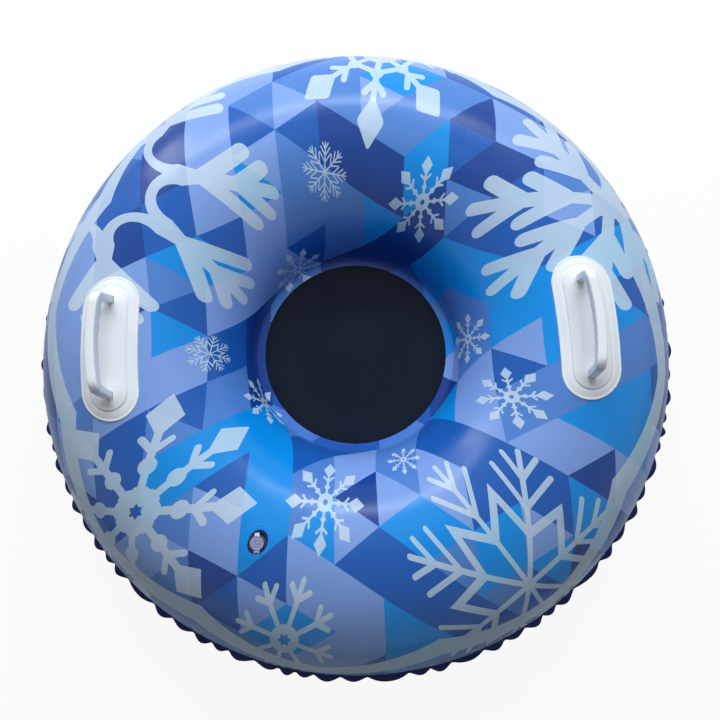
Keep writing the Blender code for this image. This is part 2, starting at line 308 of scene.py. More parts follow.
def node(tree, kind, inputs=(), **settings):
    """A new node, its settings made and each input linked to a socket or given a value."""
    made = tree.nodes.new(kind)
    for name, value in settings.items():
        setattr(made, name, value)
    for key, value in dict(inputs).items():
        if isinstance(value, bpy.types.NodeSocket):
            tree.links.new(value, made.inputs[key])
        else:
            made.inputs[key].default_value = value
    return made


class Value:
    """A number in a node tree, so that one rule places arrays of points and a tree's points."""

    def __init__(self, tree, socket):
        self.tree = tree
        self.socket = socket

    def math(self, operation, *parts):
        inputs = enumerate(part.socket if isinstance(part, Value) else part for part in parts)
        made = node(self.tree, "ShaderNodeMath", inputs, operation=operation)
        return Value(self.tree, made.outputs[0])

    def __add__(self, other):
        return self.math("ADD", self, other)

    def __sub__(self, other):
        return self.math("SUBTRACT", self, other)

    def __rsub__(self, other):
        return self.math("SUBTRACT", other, self)

    def __mul__(self, other):
        return self.math("MULTIPLY", self, other)

    def __truediv__(self, other):
        return self.math("DIVIDE", self, other)

    def __pow__(self, other):
        return self.math("POWER", self, other)

    def __neg__(self):
        return self * -1.0

    def sin(self):
        return self.math("SINE", self)

    def cos(self):
        return self.math("COSINE", self)

    def exp(self):
        return self.math("EXPONENT", self)

    def sqrt(self):
        return self.math("SQRT", self)

    __radd__ = __add__
    __rmul__ = __mul__


def clamped(value, low, high=None):
    if not isinstance(value, Value):
        return np.clip(value, low, high)
    value = value.math("MAXIMUM", value, low)
    return value if high is None else value.math("MINIMUM", value, high)


def smooth(value, low, high):
    share = clamped((value - low) / (high - low), 0.0, 1.0)
    return share * share * (3.0 - 2.0 * share)


def along(row, stops):
    """A value that runs evenly from stop to stop, each given as a row and the value there."""
    value = stops[0][1]
    for (first, low), (last, high) in zip(stops, stops[1:]):
        value = value + clamped((row - first) / (last - first), 0.0, 1.0) * (high - low)
    return value


def added(name, data):
    """A new object in the scene."""
    obj = bpy.data.objects.new(name, data)
    bpy.context.scene.collection.objects.link(obj)
    return obj


def axes_at(place, x, y, z):
    return Matrix.Translation(place) @ Matrix((x, y, z)).transposed().to_4x4()


def camera():
    data = bpy.data.cameras.new("camera")
    data.sensor_width = sensor_width
    data.lens = focal_length
    obj = added("camera", data)
    back = (camera_place - camera_aim).normalized()
    right = Vector((0.0, 1.0, 0.0)).cross(back).normalized()
    obj.matrix_world = axes_at(camera_place, right, back.cross(right), back)
    bpy.context.scene.camera = obj


def lamp(name, place, aim, width, height, power):
    data = bpy.data.lights.new(name, "AREA")
    data.color = light_colour
    data.shape = "RECTANGLE"
    data.size = width
    data.size_y = height
    data.energy = power
    obj = added(name, data)
    obj.location = place
    obj.rotation_euler = (Vector(aim) - Vector(place)).to_track_quat("-Z", "Y").to_euler()
    obj.visible_camera = False
    return obj


def shown_ray(tree):
    """1 for rays from the camera, a gloss or a clear piece, which see the white backdrop."""
    path = node(tree, "ShaderNodeLightPath")
    first = node(tree, "ShaderNodeMath", operation="MAXIMUM",
                 inputs={0: path.outputs["Is Camera Ray"], 1: path.outputs["Is Glossy Ray"]})
    second = node(tree, "ShaderNodeMath", operation="MAXIMUM",
                  inputs={0: first.outputs[0], 1: path.outputs["Is Transmission Ray"]})
    return second.outputs[0]


def mixed(tree, share, first, second, end):
    """Send a mix of two shaders to a tree's end."""
    mix = node(tree, "ShaderNodeMixShader", {0: share, 1: first.outputs[0], 2: second.outputs[0]})
    tree.links.new(mix.outputs[0], tree.nodes[end].inputs[0])


def studio_floor():
    mesh = bpy.data.meshes.new("floor")
    corners = [(-1, -1), (1, -1), (1, 1), (-1, 1)]
    mesh.from_pydata([(x * floor_half, y * floor_half, -gap) for x, y in corners], [], [(0, 1, 2, 3)])
    material = bpy.data.materials.new("studio floor")
    material.use_nodes = True
    tree = material.node_tree
    shader = tree.nodes["Principled BSDF"]
    shader.inputs["Base Color"].default_value = (0.86, 0.86, 0.86, 1.0)
    shader.inputs["Roughness"].default_value = 0.9
    path = node(tree, "ShaderNodeLightPath")
    share = node(tree, "ShaderNodeMath", {0: path.outputs["Is Camera Ray"], 1: floor_glow_share},
                 operation="MULTIPLY")
    mixed(tree, share.outputs[0], shader, node(tree, "ShaderNodeEmission"), "Material Output")
    mesh.materials.append(material)
    added("floor", mesh)


def studio():
    world = bpy.data.worlds.new("studio")
    bpy.context.scene.world = world
    world.use_nodes = True
    tree = world.node_tree
    fill = tree.nodes["Background"]
    fill.inputs["Color"].default_value = (0.90, 0.95, 1.0, 1.0)
    fill.inputs["Strength"].default_value = fill_light
    backdrop = node(tree, "ShaderNodeBackground", {"Color": (1.0, 1.0, 1.0, 1.0)})
    mixed(tree, shown_ray(tree), fill, backdrop, "World Output")
    lamp("window", (-0.20, 1.90, 1.80), aim=(0.0, 0.0, 0.2), width=2.6, height=0.27, power=27.0)
    lamp("side window", (-1.20, 1.45, 0.95), aim=(-0.1, 0.2, 0.2), width=0.25, height=0.8, power=7.0)
    soft = lamp("roof light", (0.35, 1.30, 2.30), aim=(0.0, 0.0, 0.2), width=2.0, height=2.0, power=42.0)
    soft.visible_glossy = False
    studio_floor()


def plain_finish(name, colour, roughness, shine=0.5):
    material = bpy.data.materials.new(name)
    material.use_nodes = True
    shader = material.node_tree.nodes["Principled BSDF"]
    shader.inputs["Base Color"].default_value = (*srgb(colour), 1.0)
    shader.inputs["Roughness"].default_value = roughness
    shader.inputs["Specular IOR Level"].default_value = shine
    return material


def noise(tree, scale, detail):
    place = tree.nodes.get("Texture Coordinate") or node(tree, "ShaderNodeTexCoord")
    inputs = {"Scale": scale, "Detail": detail, "Vector": place.outputs["Object"]}
    return node(tree, "ShaderNodeTexNoise", inputs).outputs["Fac"]


def uneven_gloss(material, scale, low, high):
    tree = material.node_tree
    inputs = {"Value": noise(tree, scale, 3.0), "From Min": 0.3, "From Max": 0.7,
              "To Min": low, "To Max": high}
    spread = node(tree, "ShaderNodeMapRange", inputs)
    tree.links.new(spread.outputs[0], tree.nodes["Principled BSDF"].inputs["Roughness"])


def relief(material, scale, detail, depth):
    """Raise the surface with a noise, over any relief that the material has already."""
    tree = material.node_tree
    target = tree.nodes["Principled BSDF"].inputs["Normal"]
    inputs = {"Strength": 1.0, "Distance": depth, "Height": noise(tree, scale, detail)}
    if target.links:
        inputs["Normal"] = target.links[0].from_socket
    tree.links.new(node(tree, "ShaderNodeBump", inputs).outputs[0], target)


def vinyl(name, colour, low_gloss=0.20, high_gloss=0.30, shine=0.30):
    """Soft sheet with a slight orange peel and uneven gloss."""
    material = plain_finish(name, colour, low_gloss, shine)
    uneven_gloss(material, scale=9.0, low=low_gloss, high=high_gloss)
    relief(material, scale=20.0, detail=1.0, depth=0.0006)
    relief(material, scale=420.0, detail=2.0, depth=0.00003)
    return material


def over(colour, cover, share):
    return tuple(c * (1.0 - share) + w * share for c, w in zip(colour, cover))


def print_finishes():
    """Each facet shade bare and under the flakes' white ink, then the dark margin, which is partly
    painted shade, and the back.
    """
    materials = []
    for i, shade in enumerate(facet_shades):
        materials.append(vinyl(f"print shade {i + 1}", shade))
        covered = over(shade, flake_white, flake_cover_share)
        materials.append(vinyl(f"white ink over shade {i + 1}", covered))
    materials.append(vinyl("dark margin and painted shade", edge_ink_and_shade, 0.28, 0.40, 0.15))
    materials.append(vinyl("back of the print", dark_vinyl))
    return materials


def dress(piece, body, cad_node):
    """Ride a piece on its body in place of a CAD node, which is hidden."""
    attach(piece, body)
    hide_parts(cad_node)


def lobe_phase(turn, sizes):
    drift = 1.1 * np.sin(3 * turn + 0.7) + 0.8 * np.sin(8 * turn + 2.1)
    drift = drift + 0.55 * np.sin(17 * turn + 4.0) + 0.35 * np.sin(29 * turn + 1.3)
    return sizes.lobe_count / 2 * turn + drift


def humps(phase):
    """Round humps with narrow valleys between them, level on the whole."""
    return np.sqrt(np.sin(phase) ** 2 + 0.01) - 0.6


def gathers(depth, turn, sizes):
    """How far the sheet swells or sinks at a depth inward from its outer weld."""
    phase = lobe_phase(turn, sizes)
    swell = sizes.lobe_depth * humps(phase) * np.exp(-((depth / sizes.lobe_run) ** 2))
    uneven = 0.65 + 0.35 * np.sin(19 * turn + 1.0) * np.sin(7 * turn + 0.4)
    fold = np.exp(-((np.sin(phase) / 0.30) ** 2)) * uneven
    rise = smooth(depth, 0.0, sizes.crease_start)
    fade = np.exp(-depth / (sizes.crease_run * uneven))
    fine = np.sin(211 * turn + 2.0 * np.sin(13 * turn)) + 0.7 * np.sin(337 * turn + 1.0)
    fine = sizes.ripple_depth * fine * np.exp(-((depth / sizes.ripple_run) ** 2))
    return swell + (fine - sizes.crease_depth * fold * fade) * rise


def seat_creases(outward, turn, sizes):
    """Short creases that run out from the seat weld."""
    drift = 1.3 * np.sin(5 * turn + 0.3) + 0.9 * np.sin(11 * turn + 2.0)
    fold = np.exp(-((np.sin(sizes.seat_crease_count / 2 * turn + drift) / 0.25) ** 2))
    depth = clamped(outward, 0.0)
    return -sizes.seat_crease_depth * fold * np.exp(-depth / sizes.seat_crease_run)


def valve_swell(points):
    """How far the top sheet stands up round the valve, with a few faint ripples round that."""
    away = np.hypot(*(points - valve_spot()).T)
    end = swell_reach + swell_fade
    swell = swell_height * smooth(-away, -end, -swell_reach)
    past = np.maximum(away - swell_reach - swell_fade, 0.0)
    ripple = swell_ripple * np.sin(past * 2 * math.pi / swell_ripple_length)
    return swell + ripple * np.exp(-past / swell_ripple_run)


def blown(reach, turn, side, wall, lined, swell, sizes):
    """Radius and height at which a point of a flat sheet lies on the blown-up ring.

    lined is 0 on the sheet's outer face and 1 on its inner face, which passes under the gathers.
    """
    inward = sizes.outer_line - reach
    depth = clamped(inward, 0.0)
    angle = clamped(inward / sizes.tube_radius, 0.0, math.pi)
    under = smooth(depth, 0.0, sizes.lining_start) * lined
    gather = gathers(depth, turn, sizes) * (1.0 - under)
    gather = gather - sizes.lining_sink * under * np.exp(-depth / sizes.ripple_run)
    stand = sizes.tube_radius - wall * lined + gather + swell
    stand = stand + seat_creases(reach - sizes.seat_hole_radius, turn, sizes)
    tab = clamped(-inward, 0.0)
    phase = lobe_phase(turn, sizes)
    radius = sizes.ring_radius + stand * np.cos(angle) + tab
    radius = radius + sizes.lobe_reach * humps(phase) * tab / sizes.outer_weld
    radius = radius - clamped(sizes.seat_hole_radius - reach, 0.0)
    weld = sizes.outer_offset + (sizes.inner_offset - sizes.outer_offset) * angle / math.pi
    height = weld + clamped(stand * np.sin(angle), wall * (1.0 - lined))
    near = np.exp(-((depth / sizes.lobe_rise_run) ** 2))
    level = sizes.seam_height + side * height + sizes.lobe_rise * np.sin(phase) * near
    if side < 0:
        level = clamped(level, wall * lined)
    return radius, level


def wrap(points, lined):
    """Where points of the printed sheet lie on the blown-up ring."""
    reach = np.hypot(points[:, 0], points[:, 1])
    turn = np.arctan2(points[:, 1], points[:, 0])
    radius, level = blown(reach, turn, 1, top_wall, lined, valve_swell(points), ring_sizes)
    return np.stack((radius * np.cos(turn), radius * np.sin(turn), level), -1)


def sheet_normals(points, lined):
    step = 0.0004
    across = np.array([[step, 0.0]])
    along_y = np.array([[0.0, step]])
    east = wrap(points + across, lined) - wrap(points - across, lined)
    north = wrap(points + along_y, lined) - wrap(points - along_y, lined)
    normal = np.cross(east, north)
    return normal / np.linalg.norm(normal, axis=1, keepdims=True)


def polar(reach, turn):
    return np.stack((reach * np.cos(turn), reach * np.sin(turn)), -1)


def circle(radius, count, middle=(0.0, 0.0)):
    return polar(radius, np.arange(count) * 2.0 * math.pi / count) + middle


def closed(row):
    """Edges of a closed row of points, as pairs of indices."""
    return np.stack((row, np.roll(row, -1)), -1)


def subdivide(outline, step):
    """Points of a closed outline, with none further from the next than step."""
    points = []
    for start, end in zip(outline, np.roll(outline, -1, axis=0)):
        count = max(1, math.ceil(np.hypot(*(end - start)) / step))
        points += [start + (end - start) * i / count for i in range(count)]
    return np.array(points)


def inside(points, outline):
    """Which points lie in a closed outline."""
    low, high = outline.min(0), outline.max(0)
    found = np.zeros(len(points), bool)
    near = np.nonzero(np.all((points >= low) & (points <= high), axis=1))[0]
    x, y = points[near, 0], points[near, 1]
    count = np.zeros(len(near), bool)
    for (ax, ay), (bx, by) in zip(outline, np.roll(outline, -1, axis=0)):
        if ay == by:
            continue
        crossed = ((ay > y) != (by > y)) & (x < (bx - ax) * (y - ay) / (by - ay) + ax)
        count ^= crossed
    found[near] = count
    return found


def stroke(start, end, wide_start, wide_end, steps=6):
    """Outline of a round-ended stroke, as half widths at its two ends."""
    start, end = np.array(start, float), np.array(end, float)
    heading = math.atan2(*(end - start)[::-1])
    points = []
    for middle, half, first in ((end, wide_end, -0.5), (start, wide_start, 0.5)):
        for i in range(steps + 1):
            turn = heading + math.pi * (first + i / steps)
            points.append(middle + half * np.array((math.cos(turn), math.sin(turn))))
    return np.array(points)


def kite(start, shoulder, end, half):
    return np.array([(start, -0.02), (shoulder, -half), (end, 0.0), (shoulder, half), (start, 0.02)])


def rounded(outline, radius, steps=3):
    """A closed outline with its corners cut to small arcs."""
    corners = np.array(outline)
    points = []
    for before, here, after in zip(np.roll(corners, 1, 0), corners, np.roll(corners, -1, 0)):
        back, on = before - here, after - here
        cut = min(radius, 0.45 * np.hypot(*back), 0.45 * np.hypot(*on))
        first = here + back * cut / np.hypot(*back)
        last = here + on * cut / np.hypot(*on)
        for t in np.linspace(0, 1, steps + 1):
            points.append(first * (1 - t) ** 2 + here * 2 * t * (1 - t) + last * t * t)
    return np.array(points)


def star(outer, inner, count, turn):
    turns = np.radians(turn) + np.arange(2 * count) * math.pi / count
    radii = np.where(np.arange(2 * count) % 2 == 0, outer, inner)
    return polar(radii, turns)


def scalloped(radius, depth, count, steps=6):
    turns = np.arange(count * steps) * 2 * math.pi / (count * steps)
    radii = radius + depth * np.abs(np.sin(count / 2 * turns))
    return polar(radii, turns)


def both_sides(shapes):
    return shapes + [shape[::-1] * (1.0, -1.0) for shape in shapes]


def small_diamond():
    """Kite-ended arms with a bead and a pair of twigs, round a pierced hub."""
    bead = np.array([(0.25, 0.0), (0.335, -0.078), (0.42, 0.0), (0.335, 0.078)])
    arm = [stroke((0.12, 0.0), (0.62, 0.0), 0.030, 0.030), bead, kite(0.59, 0.79, 1.0, 0.152)]
    arm += both_sides([stroke((0.48, 0.0), (0.585, 0.125), 0.026, 0.026)])
    return arm, [circle(0.20, 24)], [circle(0.062, 12)]


def large_diamond():
    arm = [stroke((0.12, 0.0), (0.66, 0.0), 0.033, 0.033), circle(0.074, 20, (0.365, 0.0))]
    arm += [kite(0.625, 0.80, 1.0, 0.143)]
    arm += both_sides([stroke((0.485, 0.0), (0.59, 0.113), 0.029, 0.029)])
    return arm, [scalloped(0.192, 0.014, 16)], [star(0.069, 0.043, 6, 96.0)]


def feather():
    twigs = []
    for root, tip, side in ((0.34, 0.63, 0.24), (0.54, 0.82, 0.20), (0.76, 0.95, 0.12)):
        twigs.append(stroke((root, 0.0), (tip, side), 0.026, 0.024))
    return [stroke((0.0, 0.0), (0.98, 0.0), 0.030, 0.022)] + both_sides(twigs), [], []


def chevron_flake():
    """Thin forked arms, with a pointed chevron between each arm and the next."""
    stem = stroke((0.0, 0.0), (0.98, 0.0), 0.022, 0.021)
    twigs = [stroke((0.56, 0.0), (0.83, 0.21), 0.021, 0.021)]
    twigs.append(stroke((0.77, 0.0), (0.945, 0.12), 0.021, 0.021))
    turn = math.pi / 8
    half = [(0.34, 0.0), (0.585 * math.cos(turn), 0.585 * math.sin(turn))]
    half += [(0.72 * math.cos(turn), 0.72 * math.sin(turn)), (0.42, 0.0)]
    return [stem] + both_sides(twigs + [np.array(half)]), [], []


def forked():
    stem = stroke((0.18, 0.0), (0.95, 0.0), 0.044, 0.047)
    prongs = both_sides([stroke((0.66, 0.0), (0.83, 0.185), 0.047, 0.047)])
    return [stem] + prongs, [scalloped(0.262, 0.02, 8)], [star(0.130, 0.083, 6, -23.5)]


def celled():
    """Spokes and an eight-sided ring round the hub, and kite-ended arms."""
    knot = (0.355, 0.0)
    turn = math.pi / 4
    other = (0.355 * math.cos(turn), 0.355 * math.sin(turn))
    shapes = [stroke((0.0, 0.0), knot, 0.034, 0.034), stroke(knot, other, 0.034, 0.034)]
    shapes += [circle(0.070, 16, knot), stroke(knot, (0.66, 0.0), 0.034, 0.028)]
    shapes += both_sides([stroke((0.46, 0.0), (0.57, 0.10), 0.032, 0.032)])
    shapes.append(rounded(kite(0.62, 0.80, 1.01, 0.150), 0.035))
    return shapes, [circle(0.19, 24)], []


def fingered():
    """Broad arms that split into pairs of round-ended fingers."""
    stem = stroke((0.10, 0.0), (0.952, 0.0), 0.050, 0.047)
    fingers = [stroke((0.335, 0.01), (0.60, 0.168), 0.060, 0.055)]
    fingers.append(stroke((0.61, 0.0), (0.865, 0.172), 0.055, 0.051))
    core = stroke((0.36, 0.0), (0.66, 0.0), 0.056, 0.056)
    return [stem, core] + both_sides(fingers), [circle(0.150, 16)], []


def pocketed():
    """Fingered arms on a ring of arcs, one round the inner end of each pocket between arms."""
    mid = math.pi / 8
    half = []
    outer_middle = 0.523 * np.array((math.cos(mid), math.sin(mid)))
    cusp = math.atan2(-outer_middle[1], 0.37 - outer_middle[0])
    for turn in np.linspace(cusp, mid - math.pi, 9):
        half.append(outer_middle + 0.230 * np.array((math.cos(turn), math.sin(turn))))
    pocket_middle = 0.465 * np.array((math.cos(mid), math.sin(mid)))
    for turn in np.linspace(mid - math.pi, -math.pi / 2 + 0.28, 12):
        half.append(pocket_middle + 0.117 * np.array((math.cos(turn), math.sin(turn))))
    half += [(0.56, 0.04), (0.60, 0.0)]
    fingers = [stroke((0.575, 0.0), (0.825, 0.187), 0.046, 0.043)]
    fingers.append(stroke((0.77, 0.0), (0.918, 0.115), 0.045, 0.039))
    end = stroke((0.50, 0.0), (0.962, 0.0), 0.043, 0.036)
    return [end] + both_sides(fingers + [np.array(half)]), [], []


# Flakes: kind, middle, reach and turn on the flat sheet
flakes = [
    (pocketed, (-0.4080, 0.2650), 0.268, 2.0),
    (celled, (0.0448, 0.5001), 0.168, -7.5),
    (fingered, (0.4060, 0.2190), 0.205, -4.0),
    (chevron_flake, (0.2597, -0.3732), 0.182, -4.7),
    (large_diamond, (-0.3256, -0.2680), 0.171, -6.2),
    (forked, (-0.1033, -0.4537), 0.084, 23.5),
    (small_diamond, (-0.0475, -0.2809), 0.0660, -5.0),
    (small_diamond, (0.2662, -0.1049), 0.0532, 4.8),
    (small_diamond, (0.1211, 0.2450), 0.0605, -3.7),
    (small_diamond, (-0.1480, -0.0900), 0.0480, 4.0),
    (small_diamond, (0.1976, 0.0113), 0.0440, -4.0),
    (small_diamond, (-0.0926, 0.1312), 0.0450, -2.0),
    (small_diamond, (0.0854, -0.2080), 0.0295, 4.0),
    (feather, (-0.0515, 0.2910), 0.0385, -5.0),
    (chevron_flake, (-0.2546, -0.0262), 0.0345, 35.5),
]


def flake_outlines():
    """White shapes and the bare holes in them, on the flat sheet."""
    white, bare = [], []
    for kind, middle, reach, turn in flakes:
        arm, hub, holes = kind()
        whole = math.radians(turn)
        for i in range(8):
            white += [placed(shape, middle, reach, whole + i * math.pi / 4) for shape in arm]
        white += [placed(shape, middle, reach, whole) for shape in hub]
        bare += [placed(shape, middle, reach, whole) for shape in holes]
    return white, bare


def placed(shape, middle, reach, turn):
    """A shape on the sheet, drawn out along the sheet's radius as the air stretches it."""
    c, s = math.cos(turn) * reach, math.sin(turn) * reach
    away = math.hypot(*middle)
    share = min(max((away - draw_start) / (draw_end - draw_start), 0.0), 1.0)
    draw = 1.0 + draw_most_share * share * share * (3.0 - 2.0 * share)
    out = np.array(middle) / away
    radial = np.outer(out, out)
    stretch = radial * draw + (np.eye(2) - radial) / draw
    return shape @ np.array([(c, s), (-s, c)]) @ stretch + middle


def band_edge(radius, tooth):
    """Edge of the pale band: shallow arcs that meet in points towards the seat."""
    turns = np.arange(720) * math.pi / 360
    pitch = 2 * math.pi / band_teeth
    away = 2 * np.abs(((turns - first_tooth) / pitch + 0.5) % 1.0 - 0.5)
    reach = radius - tooth * (1.0 - away) ** tooth_bend - band_oval * np.cos(2 * turns)
    return polar(reach, turns)


def facet_axes():
    return np.array([
        (math.cos(facet_turn), math.sin(facet_turn)),
        (math.cos(facet_turn + math.pi / 3), math.sin(facet_turn + math.pi / 3)),
    ]) * facet_side


def facet_table():
    """Shade of each triangle of the lattice, by its two places and its half.

    Bars of one shade are laid along the lattice in its three directions, one over the other.
    """
    draw = np.random.default_rng(facet_seed)
    cells = 2 * facet_reach
    table = draw.choice(len(facet_shades), (cells, cells, 2), p=facet_shares)
    for _ in range(facet_bars):
        i, j = draw.integers(facet_bar_margin, cells - facet_bar_margin, 2)
        shade = draw.choice(len(facet_shades), p=facet_shares)
        length = draw.integers(1, longest_bar + 1)
        way = draw.integers(3)
        for k in range(length):
            if way == 0:
                table[i + k, j] = shade
            elif way == 1:
                table[i, j + k] = shade
            else:
                table[i + k, j - k, 0] = shade
                table[i + k, j - k - 1, 1] = shade
    return table


shade_table = facet_table()


def facet_of(points):
    cells = (points - facet_start) @ np.linalg.inv(facet_axes())
    whole = np.floor(cells).astype(int)
    rest = cells - whole
    half = (rest.sum(1) > 1.0).astype(int)
    return shade_table[whole[:, 0] + facet_reach, whole[:, 1] + facet_reach, half]


def facet_lines():
    """Sides of facets whose two neighbours differ, as runs of points on the flat sheet."""
    axes = facet_axes()
    runs = []
    for i in range(-facet_line_reach, facet_line_reach):
        for j in range(-facet_line_reach, facet_line_reach):
            corner = np.array(facet_start) + i * axes[0] + j * axes[1]
            for start, end in ((corner, corner + axes[0]), (corner, corner + axes[1]),
                               (corner + axes[0], corner + axes[1])):
                middle = (start + end) / 2
                if np.hypot(*middle) > flat_diameter / 2 + facet_side:
                    continue
                across = np.array((start[1] - end[1], end[0] - start[0])) * 0.1
                sides = facet_of(np.array([middle + across, middle - across]))
                if sides[0] != sides[1]:
                    count = math.ceil(facet_side / outline_step)
                    runs.append(start + (end - start) * np.linspace(0, 1, count + 1)[:, None])
    return runs


def valve_spot():
    """Where the valve's axis meets the flat sheet."""
    lean = math.acos(-valve_in / tube_radius)
    reach = outer_line - lean * tube_radius
    turn = math.radians(valve_angle)
    return np.array((reach * math.cos(turn), reach * math.sin(turn)))


def sheet_plan(runs, loops, holes, steps):
    """Triangles of a flat ring sheet, with runs and loops among their edges.

    The result is the points, the triangles and the boundary loops, as rows of indices.
    """
    outer, inner = flat_diameter / 2, seat_hole_radius - inner_weld
    rims = [circle(outer, rim_points), circle(inner, hub_points)]
    rims += [circle(radius, hole_points, middle) for middle, radius in holes]
    points, edges, rim_rows = [], [], []

    def in_sheet(places, room):
        reach = np.hypot(places[:, 0], places[:, 1])
        kept = (reach < outer - room) & (reach > inner + room)
        for middle, radius in holes:
            kept &= np.hypot(*(places - middle).T) > radius + room
        return kept

    for rim in rims:
        row = np.arange(len(rim)) + sum(map(len, points))
        rim_rows.append(row)
        points.append(rim)
        edges.append(closed(row))
    for run, whole_loop in [(run, False) for run in runs] + [(loop, True) for loop in loops]:
        kept = in_sheet(run, clear_of_outline)
        row = np.arange(len(run)) + sum(map(len, points))
        whole = kept & np.roll(kept, -1)
        if not whole_loop:
            whole[-1] = False
        points.append(run)
        edges.append(closed(row)[whole])

    marked = np.zeros((marks_across, marks_across), bool)
    middle_mark = marks_across // 2
    cell = flat_diameter / (marks_across - marks_margin)
    start = np.concatenate(points)
    pairs = np.concatenate(edges)
    for share in np.linspace(0, 1, 6):
        spots = start[pairs[:, 0]] * (1 - share) + start[pairs[:, 1]] * share
        places = (spots / cell).astype(int) + middle_mark
        for di in (-1, 0, 1):
            for dj in (-1, 0, 1):
                marked[places[:, 0] + di, places[:, 1] + dj] = True
    for low, high, step in steps:
        grid = hexagonal(high, step)
        reach = np.hypot(grid[:, 0], grid[:, 1])
        places = (grid / cell).astype(int) + middle_mark
        kept = (reach >= low) & in_sheet(grid, clear_of_outline)
        kept &= ~marked[places[:, 0], places[:, 1]]
        points.append(grid[kept])

    points = np.concatenate(points)
    used = np.ones(len(points), bool)
    loose = np.arange(sum(map(len, rims)), len(start))
    used[loose] = in_sheet(points[loose], clear_of_outline)
    place = np.cumsum(used) - 1
    pairs = place[pairs]
    flat, faces, origins = triangles(points[used], pairs, True)
    found = {}
    for new, olds in enumerate(origins):
        for old in olds:
            found[old] = new
    rows = [np.array([found[place[i]] for i in row]) for row in rim_rows]
    middles = flat[faces].mean(1)
    faces = faces[in_sheet(middles, 0.0)]
    return flat, faces, rows


def triangles(points, edges, with_origins=False):
    """Triangles over points and edges: the points, the corners and where each point came from."""
    result = delaunay_2d_cdt([Vector(p) for p in points], [tuple(map(int, p)) for p in edges],
                             [], 0, same_place, with_origins)
    return np.array([tuple(v) for v in result[0]]), np.array(result[2]), result[3]


def hexagonal(reach, step):
    """Points of a close-packed grid out to a reach."""
    rise = step * math.sqrt(0.75)
    rows = int(reach / rise) + 1
    cols = int(reach / step) + 1
    i, j = np.meshgrid(np.arange(-cols, cols + 1), np.arange(-rows, rows + 1))
    grid = np.stack(((i + 0.5 * (j % 2)) * step, j * rise), -1).reshape(-1, 2)
    return grid[np.hypot(grid[:, 0], grid[:, 1]) < reach]


def mesh_object(name, points, faces, materials, slots, normals, plan):
    """A mesh from arrays: a material for each face, a normal for each corner and a bake's plan."""
    mesh = bpy.data.meshes.new(name)
    mesh.from_pydata(points.tolist(), [], [tuple(map(int, face)) for face in faces])
    for material in materials:
        mesh.materials.append(material)
    mesh.polygons.foreach_set("material_index", slots)
    mesh.shade_smooth()
    layer = mesh.uv_layers.new(name="OFBake")
    corners = np.zeros(len(mesh.loops), int)
    mesh.loops.foreach_get("vertex_index", corners)
    layer.data.foreach_set("uv", plan[corners].astype(np.float32).ravel())
    mesh.normals_split_custom_set(normals.tolist())
    mesh.update()
    return added(name, mesh)


def strip(first, second):
    """Faces between two closed rows of points."""
    return np.stack((first, second, np.roll(second, -1), np.roll(first, -1)), -1)


def skin_piece(name, outside, lining, materials, slots):
    """A closed skin from the plans of its two faces and the rims that join them."""
    flat, faces, rows = outside
    back_flat, back_faces, back_rows = lining
    count = len(flat)
    points = np.concatenate((wrap(flat, 0), wrap(back_flat, 1)))
    back = back_faces[:, ::-1] + count
    normals = [sheet_normals(flat, 0)[faces].reshape(-1, 3)]
    normals.append(-sheet_normals(back_flat, 1)[back - count].reshape(-1, 3))
    quads = []
    for turn, (row, back_row) in enumerate(zip(rows, back_rows)):
        quad = strip(row, back_row + count)
        quads.append(quad if turn == 0 else quad[:, ::-1])
    quads = np.concatenate(quads)
    corners = points[quads]
    flank = np.cross(corners[:, 2] - corners[:, 0], corners[:, 3] - corners[:, 1])
    flank /= np.linalg.norm(flank, axis=1, keepdims=True)
    normals.append(np.repeat(flank, 4, axis=0))
    last = len(materials) - 1
    marks = np.concatenate((slots, np.full(len(back), last), np.full(len(quads), last - 1)))
    back_plan = back_flat * lining_plan_share + 0.5 - lining_plan_shift
    plan = np.concatenate((flat / plan_width + 0.5, back_plan))
    return mesh_object(name, points, [*faces, *back, *quads], materials, marks.astype(np.int32),
                       np.concatenate(normals), plan)


def top_skin():
    white, bare = flake_outlines()
    band = [band_edge(band_inner, inner_tooth), band_edge(band_outer, outer_tooth)]
    loops = [subdivide(shape, outline_step) for shape in white + bare + band]
    rims = [circle(outer_line, rim_points), circle(seat_hole_radius, hub_points)]
    start = circle(outer_line - ring_sizes.lining_start, rim_points // 2)
    loops += rims
    # Painted shade: a ring of dark margin ink round the valve, shifted off its axis so that a crescent
    # of shade shows on one side
    weld = circle(weld_reach, swell_points, valve_spot() + weld_shade_shift)
    loops += [weld] + [circle(radius, swell_points, valve_spot()) for radius in swell_rings]
    hole = (valve_spot(), cup_radius + gap)
    inner, outer = seat_hole_radius - inner_weld, flat_diameter / 2
    fine = outer - edge_zone
    steps = [(inner, fine, sheet_step), (fine, outer, edge_step)]
    outside = sheet_plan(facet_lines(), loops, [hole], steps)
    lining = sheet_plan([], rims + [start], [hole], [(inner, outer, lining_step)])
    middles = outside[0][outside[1]].mean(1)
    covered = np.zeros(len(middles), bool)
    for shape in white:
        covered |= inside(middles, shape)
    for shape in bare:
        covered &= ~inside(middles, shape)
    covered |= inside(middles, band[1]) & ~inside(middles, band[0])
    slots = facet_of(middles) * 2 + covered
    # The outer weld flange takes the dark margin ink: partly the sheet's dark edge, partly painted shade
    # at the tube's equator
    slots[np.hypot(middles[:, 0], middles[:, 1]) > outer_line] = 2 * len(facet_shades)
    # The ring round the valve takes the same ink, as a painted shade crescent
    slots[inside(middles, weld)] = 2 * len(facet_shades)
    piece = skin_piece("printed_skin", outside, lining, print_finishes(), slots)
    dress(piece, "tube", "top_skin")


